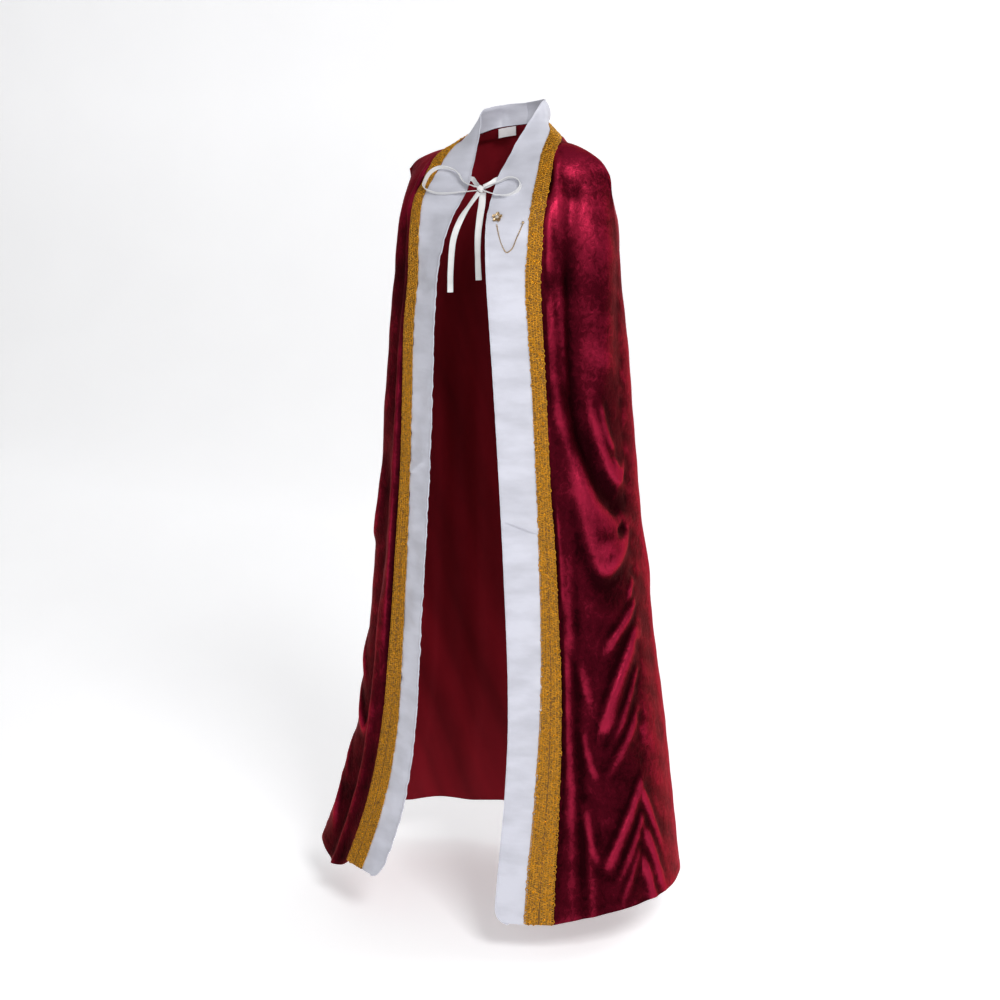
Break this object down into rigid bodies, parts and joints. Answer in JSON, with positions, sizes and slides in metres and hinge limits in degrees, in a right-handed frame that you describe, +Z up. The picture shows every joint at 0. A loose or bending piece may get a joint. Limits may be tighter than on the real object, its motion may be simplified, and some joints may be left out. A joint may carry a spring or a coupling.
{
  "type": "king cape",
  "caption": "Full-length velvet costume cape, held open as if worn, with white satin bands and collar, gold braid, a ribbon tie and a brooch with a chain.",
  "frame": {"origin": "centre of the neck base, where the wearer's neck and shoulders hold the cape up", "axes": "+Z up, the front with its opening faces -Y, and +X is the wearer's left"},
  "size_m": [0.7702, 0.4899, 1.5132],
  "materials": {
    "velvet": "crushed velvet",
    "white_satin": "satin",
    "gold_braid": "metallic braid",
    "ribbon": "satin ribbon",
    "label": "woven",
    "brass": "polished"
  },
  "bodies": {
    "root": {"back": "velvet", "front_left": "velvet", "front_right": "velvet", "band_left": "white_satin", "band_right": "white_satin", "braid_left": "gold_braid", "braid_right": "gold_braid", "tie_knot": "ribbon", "tie_strand_left": "ribbon", "tie_strand_right": "ribbon", "tie_loop_left": "ribbon", "tie_loop_right": "ribbon", "tie_tail_left": "ribbon", "tie_tail_right": "ribbon", "label": "label", "brooch": "brass", "brooch_stone": "brass", "chain_stud": "brass", "chain": "brass"}
  },
  "joints": []
}
